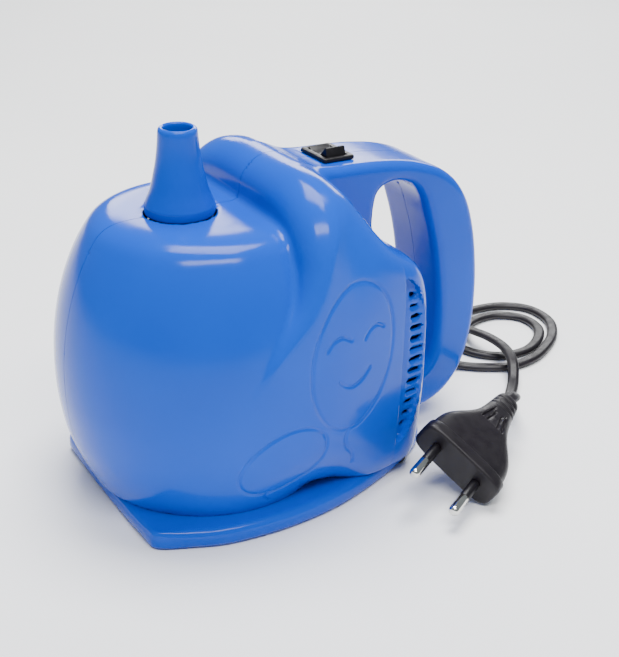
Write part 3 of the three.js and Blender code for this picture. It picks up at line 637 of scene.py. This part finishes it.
ENGRAVING = [
    oval((70.2, 61.6), (18.0, 26.6), -5),
    oval((43.4, 28.4), (16.6, 12.2), 22),
    smooth_line([[58, 67.6], [60.4, 70.2], [64, 71], [68.2, 68.8]], 24),
    smooth_line([[74.4, 67.4], [76.8, 70.2], [80, 71], [83, 69.4]], 24),
    smooth_line([[63.6, 54.4], [66.4, 52.2], [69.6, 51.2], [73.6, 52.4], [77.2, 55.8]], 24),
    smooth_line([[68.6, 35], [67.4, 31.6], [68.4, 27.4], [71.8, 22.4], [72.6, 18.6]], 24),
    smooth_line([[39.6, 16.4], [38.6, 13.6], [40.6, 10.8]], 24),
]
tables = [distance_table(line, (8, 0), (104, 96), 0.3, closed=False) for line in ENGRAVING]
engraving_table = (tables[0][0], 0.3, np.minimum.reduce([t[2] for t in tables]))
print("engraved lines:", len(ENGRAVING))


def near_lines(spots, sign, reach, skin_depth):
    """Which points lie near an engraved line on the outer skin of one side panel."""
    close = read_table(engraving_table, spots[:, 1], spots[:, 2]) < reach
    return close & (spots[:, 0] * sign > 30) & (np.abs(outer_field(*spots.T)) < skin_depth)


def engrave(piece, sign, wall, reach=2.0, depth=0.5, width=0.62):
    """Splits the faces near the lines, lays the new points on the skin and sinks a groove whose
    section is a bell curve: depth times e to the minus square of distance over width."""
    mesh = bmesh.new()
    mesh.from_mesh(piece.data)
    spots = np.array([v.co for v in mesh.verts]) / MM + (0, MID_Y, 0)
    close = near_lines(spots, sign, reach, 0.3)
    mesh.verts.ensure_lookup_table()
    edges = [e for e in mesh.edges if close[e.verts[0].index] and close[e.verts[1].index]]
    bmesh.ops.subdivide_edges(mesh, edges=edges, cuts=3, use_grid_fill=True)
    spots = np.array([v.co for v in mesh.verts]) / MM + (0, MID_Y, 0)
    near = near_lines(spots, sign, reach + 1, 0.5)
    chosen = settle(wall, spots[near] * (sign, 1, 1), 0.3, 3)
    slope = slope_of(wall, chosen)
    slope /= np.linalg.norm(slope, axis=1)[:, None]
    apart = read_table(engraving_table, chosen[:, 1], chosen[:, 2])
    chosen -= slope * (depth * np.exp(-(apart / width) ** 2))[:, None]
    spots[near] = chosen * (sign, 1, 1)
    mesh.to_mesh(piece.data)
    mesh.free()
    piece.data.vertices.foreach_set("co", ((spots - (0, MID_Y, 0)) * MM).ravel())
    piece.data.update()
    print(piece.name, "after engraving:", len(piece.data.polygons), "faces")


# %% [markdown]
# ## The two housing halves
# Each half is skinned from its own side of the parting plane and set flat there and along the
# bottom, with a hair of a gap between the halves, which draws the parting line.


# %% The two housing halves
def mould_half(name, sign, h=0.9):
    """One housing half, from the parting plane outwards, with crisp parting and bottom faces.
    The half is worked out on the right, and mirrored by its sign at the end."""
    gap = 0.12

    def wall(x, y, z):
        return shell_field(x * sign, y, z, sign)

    def field(x, y, z):
        return np.maximum(np.maximum(wall(x, y, z), gap - x), FLOOR - z)

    p, quads = skin(field, (-1.2, -15.0, 5.2), (56.0, 154.5, 124.5), h)
    p = settle(field, p, 0.45 * h)
    for k, level in ((0, gap), (2, FLOOR)):
        near = np.abs(p[:, k] - level) < 0.5 * h
        p[near, k] = level
        free = np.ones(3)
        free[k] = 0
        rim = np.where(near)[0]
        rim = rim[np.abs(wall(*p[rim].T)) < 0.5 * h]
        p[rim] = settle(wall, p[rim], 0.3 * h, free=free)
    p[:, 0] *= sign
    if sign < 0:
        quads = quads[:, ::-1]
    piece = put_mesh(name, p, quads, 38)
    engrave(piece, sign, wall)
    coat(piece, blue)
    return piece


housing_right = mould_half("moulded_shell_right", 1)
housing_left = mould_half("moulded_shell_left", -1)
for half, node in ((housing_right, "housing_right"), (housing_left, "housing_left")):
    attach(half, "pump")
    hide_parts(node)

# %% [markdown]
# ## Base plate
# The base follows the shell's foot with a wider rim, and comes to a soft point at its two front
# corners. Rings step in from the outline, and less so at the corners, so they don't cross.

# %% Base plate
BASE_OUTLINE = [[34, -0.4], [37.4, 0.2], [39.6, 2.4], [41.2, 5.2], [43.9, 11], [48.2, 22],
                [50.3, 36], [50.6, 50], [48.8, 66], [45.4, 79], [40.2, 93.6],
                [33.7, 107.4], [26, 118.6], [14, 124.8], [0, 125.6]]
RIM_POINTS = 480
side = smooth_line(BASE_OUTLINE, 90)
front = smooth_line([[0, -1.2], [18, -1], [33.2, -0.45]], 30)
half = np.concatenate([front, side])
outline = np.concatenate([half, half[1:-1][::-1] * (-1, 1)])
rim, _ = even_line(np.concatenate([outline, outline[:1]]), RIM_POINTS)
rim = rim[:-1]
along = np.roll(rim, -1, axis=0) - np.roll(rim, 1, axis=0)
inwards = np.stack([-along[:, 1], along[:, 0]], -1) / np.linalg.norm(along, axis=1)[:, None]
from_corner = np.hypot(np.abs(rim[:, :1]) - 38.6, rim[:, 1:] - 1.4)
inwards *= 1 - 0.55 * np.exp(-((from_corner / 7) ** 2))
turn = np.linspace(0, np.pi / 2, 9)
edge = [(3, 0.8), (1.4, 0.8), (0.5, 1.1), (0, 1.9)] + [
    (2.9 * (1 - math.cos(t)), 4.3 + 2.9 * math.sin(t)) for t in turn] + [(4, 7.2)]
rings = np.stack([np.column_stack([rim + inset * inwards, np.full(RIM_POINTS, z)])
                  for inset, z in edge])
points, faces = capped(rings)
base = put_mesh("base_tray", points, faces, 40)
coat(base, blue)
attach(base, "pump")
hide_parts("base_plate")
print("base, mm:", [round(v / MM) for v in base.dimensions])

# %% [markdown]
# ## Nozzle
# One turned piece: a skirt that guides it in the drum's collar, a collar that stands on the
# drum, a flare up to a rounded mouth, and the tapered bore down the middle.

# %% Nozzle
flare = smooth_line([[11.9, 106.8], [11.3, 108.2], [9.9, 111.8], [8.7, 116.6], [7.7, 121.6],
                     [7.05, 126.6], [6.75, 130.2]], 40)
mouth = [[6.68, 131.4], [6.5, 132.2], [6.1, 132.75], [5.6, 133], [5.1, 132.8], [4.85, 132.2]]
bore = smooth_line([[4.8, 131], [5.2, 120], [5.8, 110], [6.4, 101]], 12)
skirt = [[6.5, 90.5], [7.9, 90.5], [7.9, 103.5], [11.4, 103.5], [11.85, 103.7], [12, 104.1],
         [12, 106.4]]
profile = np.concatenate([skirt, flare, mouth, bore, skirt[:1]])
nozzle = lathe("press_nozzle", profile, (0, NOZZLE_Y), 128, 50)
coat(nozzle, blue)
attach(nozzle, "nozzle")
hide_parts("nozzle")
print("nozzle top, mm:", 133, "mouth across, mm:", 2 * mouth[0][0])

# %% [markdown]
# ## Mains lead
# A flat two-core lead: two round cores side by side under one sleeve. Its section is a rounded
# oval with a slight waist, carried along one smooth curve with its broad side down.

# %% Mains lead
LEAD = [[-22, 146.9, 14], [-21.9, 153, 12.8], [-20, 162, 7], [-15.4, 171, 3], [-8.4, 180, 2.7],
        [-3.4, 191, 2.7], [-4.2, 204, 2.7], [-10, 217, 2.7], [-19, 229, 2.7], [-31, 237, 2.7],
        [-45, 237, 2.7], [-54, 228, 2.7], [-57, 214, 2.7], [-54.6, 200, 2.7], [-47, 188.6, 2.7],
        [-35, 182.6, 2.7], [-22.4, 184.4, 2.7], [-13.4, 193, 2.7], [-11.6, 206, 2.7],
        [-17, 218, 2.7], [-27, 227, 2.7], [-39, 227.4, 2.7], [-47, 218.6, 2.7], [-47.4, 206, 2.9],
        [-41.4, 195.6, 4], [-31, 190.6, 7.4], [-19.6, 191, 8.8], [-8, 190.4, 8.8], [2, 186.6, 7.6],
        [10.4, 180.4, 4.2], [19, 171.4, 3.6], [27, 165, 8], [34, 160, 13.6], [39, 154.8, 17],
        [41.7, 149.5, 17.9]]
LEAD_STEPS = 520
route, _ = even_line(LEAD, LEAD_STEPS)
route[:, 2] -= 0.95 * (1 - ease(3, 8, route[:, 2]))      # where it lies, its thin way is up
ahead_of = np.gradient(route, axis=0)
ahead_of /= np.linalg.norm(ahead_of, axis=1)[:, None]
flat = np.cross(ahead_of, (0, 0, 1.0))
flat /= np.linalg.norm(flat, axis=1)[:, None]
rise = np.cross(flat, ahead_of)
lean = math.radians(34) * ease(LEAD_STEPS - 40, LEAD_STEPS, np.arange(LEAD_STEPS + 1))[:, None]
flat, rise = flat * np.cos(lean) + rise * np.sin(lean), rise * np.cos(lean) - flat * np.sin(lean)
angle = around(24)
wide = 2.42 * np.sign(np.cos(angle)) * np.abs(np.cos(angle)) ** 0.8
thick = (1.5 - 0.2 * np.exp(-(wide / 0.5) ** 2)) * np.sin(angle)
rings = route[:, None] + flat[:, None] * wide[:, None] + rise[:, None] * thick[:, None]
points, faces = capped(rings)
lead = put_mesh("twin_lead", points, faces, 50)
coat(lead, pvc)
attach(lead, "pump")
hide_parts("power_cord")
print("lead rings:", len(rings))

# %% [markdown]
# ## Strain relief
# A ribbed sleeve grips the lead where it leaves the shell. Its profile is turned about an axis
# along Y, and the flange at its root sits behind the wall.

# %% Strain relief
SLEEVE_X, SLEEVE_Y, SLEEVE_Z = -22, 119.8, 14
steps = np.linspace(0, 26.3, 120)
raised = np.cos(steps * 2 * np.pi / 3.3) > 0.2
ribs = 0.55 * ease(3, 5, steps) * (1 - ease(22, 24, steps)) * raised
radius = np.interp(steps, [0, 5, 20, 26.3], [4.2, 4.1, 3.4, 3.0]) - ribs
flange = [[0.01, -11.5], [6, -11.5], [6, -9.3], [4.2, -9]]
sleeve = np.concatenate([flange, np.column_stack([radius, steps]), [[2.6, 26.6]]])
r, y = sleeve[:, :1], sleeve[:, 1:]
circle = around(40)
rings = np.stack([SLEEVE_X + r * np.cos(circle), SLEEVE_Y + y + 0 * circle,
                  SLEEVE_Z - r * np.sin(circle)], -1)
points, faces = capped(rings)
relief = put_mesh("cord_sleeve", points, faces, 35)
coat(relief, pvc)
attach(relief, "pump")
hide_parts("strain_relief")
print("strain relief, mm:", [round(v / MM) for v in relief.dimensions])

# %% [markdown]
# ## Flat plug
# The body is a skin of rounded oblong sections along its own X axis, wide at the face and
# narrow at the lead. Grip grooves sink into both broad sides.

# %% Plug
HEADING, DIP, ROLL_OVER = (math.radians(a) for a in (-62.4, 4, -34))
turn_plug = np.array(Matrix.Rotation(HEADING, 3, "Z") @ Matrix.Rotation(DIP, 3, "Y")
                     @ Matrix.Rotation(ROLL_OVER, 3, "X"))
PLUG_PLACE = np.array([64.0, 107.0, 14.4])
SECTIONS = np.array([[-47, 4.0, 3.4], [-46.4, 4.5, 3.9], [-40, 5.5, 4.8], [-34, 6.3, 5.5],
                     [-28, 7.6, 6.0], [-23, 9.8, 6.3], [-18, 13.0, 6.5], [-14, 15.2, 6.6],
                     [-10, 16.3, 6.6], [-5.2, 16.7, 6.6]])
body = smooth_line(SECTIONS, 150)
face = np.array([[-5, 17.3, 6.8], [-4.6, 17.6, 6.9], [-1.2, 17.6, 6.9], [-0.5, 17.3, 6.7],
                 [-0.1, 16.7, 6.2], [0, 16.0, 5.6]])
body = np.concatenate([body, face])
x, wide, thick = (body[:, k][:, None] for k in range(3))
angle = around(160, 0.5)
power = 0.42 + 0.3 * (1 - ease(-44, -20, x))
c, s = np.cos(angle), np.sin(angle)
py = wide * np.sign(c) * np.abs(c) ** power
pz = thick * np.sign(s) * np.abs(s) ** power
groove = np.zeros(py.shape)
for k in range(-2, 3):
    line = 1.7 * k + 0.12 * (x + 30) * k
    window = ease(-34 + (k % 2) * 2, -33 + (k % 2) * 2, x) * (1 - ease(-24.5, -23.5, x))
    groove = np.maximum(groove, 0.8 * np.exp(-((py - line) / 0.42) ** 4) * window)
for k in (-43.4, -40.4, -37.4):
    groove = np.maximum(groove, 0.8 * np.exp(-((x - k) / 0.62) ** 4) * (np.abs(py) < 9))
fade = ease(0.1, 0.5, np.abs(pz) / thick)
pz = pz - np.sign(pz) * groove * fade
rings = np.stack([x + 0 * py, py, pz], -1) @ turn_plug.T + PLUG_PLACE
points, faces = capped(rings)
plug = put_mesh("plug_grip", points, faces, 45)
coat(plug, pvc)
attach(plug, "pump")
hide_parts("plug_body")
print("plug widest, mm:", 2 * float(wide.max()))

# %% [markdown]
# ## Plug pins
# Each pin is a plated tip on a black insulating sleeve.

# %% Plug pins
PIN_HALF_GAP = 9.3
for number, side_of in ((1, 1), (2, -1)):
    for name, profile, finish, slot in (
            ("pin_sleeve", [[0, 0.3], [1.9, 0.3], [1.95, 0.5], [1.95, 9.3], [1.8, 9.6], [0, 9.6]],
             satin, "black_plastic"),
            ("pin_tip", [[0, 9.7], [1.95, 9.7], [2, 9.9], [2, 17.2], [1.93, 17.9], [1.6, 18.5],
                         [1.0, 18.9], [0, 19]], nickel, "nickel")):
        profile = np.array(profile)
        angle = around(40)
        r, x = profile[1:-1, :1], profile[1:-1, 1:]
        rings = np.stack([x + 0 * angle, side_of * PIN_HALF_GAP + r * np.cos(angle),
                          r * np.sin(angle)], -1)
        points, faces = capped(rings @ turn_plug.T + PLUG_PLACE)
        pin = put_mesh(f"{name}_{number}", points, faces, 45)
        coat(pin, finish)
        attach(pin, "pump")
        if name == "pin_tip":
            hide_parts(f"plug_pin_{number}")

# %% [markdown]
# ## Switch frame
# A rounded frame is clipped into the handle. It is a skin through rounded rectangles that goes
# up outside, over the top and down inside to the floor of its pocket.


# %% Switch frame
def round_box(half_x, half_y, radius, count=12):
    """A rectangle with round corners, as quarter circles about four centres."""
    corners = []
    for k, (sx, sy) in enumerate(((1, 1), (-1, 1), (-1, -1), (1, -1))):
        a = np.linspace(0, np.pi / 2, count) + k * np.pi / 2
        corners.append(np.stack([sx * (half_x - radius) + radius * np.cos(a),
                                 sy * (half_y - radius) + radius * np.sin(a)], 1))
    return np.concatenate(corners)


levels = [(8.3, 6.3, 1.2, 114.5), (8.4, 6.4, 1.3, 114.7), (8.4, 6.4, 1.3, 115.4),
          (8.2, 6.2, 1.2, 115.8), (7.9, 5.9, 1.0, 115.95), (6.9, 4.6, 0.7, 115.95),
          (6.65, 4.35, 0.6, 115.75), (6.6, 4.3, 0.6, 115.3), (6.6, 4.3, 0.6, 109), (3, 2, 0.5, 109)]
rings = np.stack([np.column_stack([round_box(a, b, r), np.full(48, z)]) for a, b, r, z in levels])
points, faces = capped(rings)
bezel = put_mesh("switch_frame", points + (0, SWITCH_Y, 0), faces, 35)
coat(bezel, satin)
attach(bezel, "pump")
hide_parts("switch_body")
print("switch frame, mm:", [round(v / MM, 1) for v in bezel.dimensions])

# %% [markdown]
# ## Rocker
# The key has two halves that slope down to its pivot. Its section in X and Z is carried along Y,
# drawn in a little at both ends, and tipped so that its +X end stands up.

# %% Rocker
TIP, PIVOT_Z = math.radians(12), 114.0
KEY_TOP = [[-6.1, 3.0], [-5.7, 3.8], [-3, 2.0], [0, 1.0], [3, 2.0], [5.7, 3.8], [6.1, 3.0]]
top = even_line(KEY_TOP, 24)[0][::-1]
bottom = np.stack([np.linspace(-6.1, 6.1, 25), -4.4 + 3.4 * np.abs(np.linspace(-1, 1, 25))], 1)
section = np.concatenate([top, bottom])
middle = section.mean(0)
away = section - middle
rows = []
for inset, y_at in ((0.5, -4.05), (0.15, -3.9), (0, -3.6), (0, 3.6), (0.15, 3.9), (0.5, 4.05)):
    rows.append(np.column_stack([middle[0] + away[:, 0] * (1 - inset / 6.2),
                                 np.full(len(section), y_at),
                                 middle[1] + away[:, 1] * (1 - inset / 3.2)]))
rows = np.stack(rows)
px = rows[..., 0] * math.cos(TIP) - rows[..., 2] * math.sin(TIP)
pz = rows[..., 2] * math.cos(TIP) + rows[..., 0] * math.sin(TIP)
rows = np.stack([px, rows[..., 1] + SWITCH_Y, pz + PIVOT_Z], -1)
points, faces = capped(rows)
rocker = put_mesh("rocker_key", points, faces, 35)
coat(rocker, satin)
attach(rocker, "rocker")
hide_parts("switch_rocker")
print("rocker stands above its frame, mm:", round(float(rows[..., 2].max()) - 115.95, 1))

# %% [markdown]
# ## Floor and lights
# A pale matt floor, a wide light above, a long narrow one that draws a highlight along the drum's
# rim and the hood's lip, a low one behind for the handle's top, and a dim even surround.

# %% Floor and lights
FLOOR_HALF = 3000
corners = [[x * FLOOR_HALF, y * FLOOR_HALF, 0] for x, y in ((-1, -1), (1, -1), (1, 1), (-1, 1))]
floor = put_mesh("studio_floor", corners, np.array([[0, 1, 2, 3]]))
white = Finish("white_paper", Specular_IOR_Level=0.1)
white.colour(white.mix(white.noise(6, 2), rgb(249, 249, 250), rgb(254, 254, 254)))
white.roughness(white.between(white.noise(9, 2), 0.3, 0.7, 0.85, 0.95))
coat(floor, white)


def soft_light(name, place, aim, width, height, power):
    """A rectangular area light in metres and watts, turned to face a point."""
    lamp = bpy.data.lights.new(name, "AREA")
    lamp.shape = "RECTANGLE"
    lamp.size, lamp.size_y, lamp.energy = width, height, power
    thing = bpy.data.objects.new(name, lamp)
    bpy.context.collection.objects.link(thing)
    thing.location = place
    thing.rotation_euler = (Vector(aim) - Vector(place)).to_track_quat("-Z", "Y").to_euler()


soft_light("top_box", (-0.15, 0.15, 1.1), (0, 0, 0.05), 0.7, 0.5, 21)
soft_light("key_box", (0.6, -0.2, 1.05), (0, 0, 0.06), 0.9, 0.22, 13)
soft_light("back_box", (-0.9, 0.7, 0.5), (0, 0, 0.08), 1.1, 0.3, 9)
world = bpy.data.worlds.new("studio")
bpy.context.scene.world = world
world.use_nodes = True
world.node_tree.nodes["Background"].inputs["Color"].default_value = (0.84, 0.94, 1, 1)
world.node_tree.nodes["Background"].inputs["Strength"].default_value = 0.32
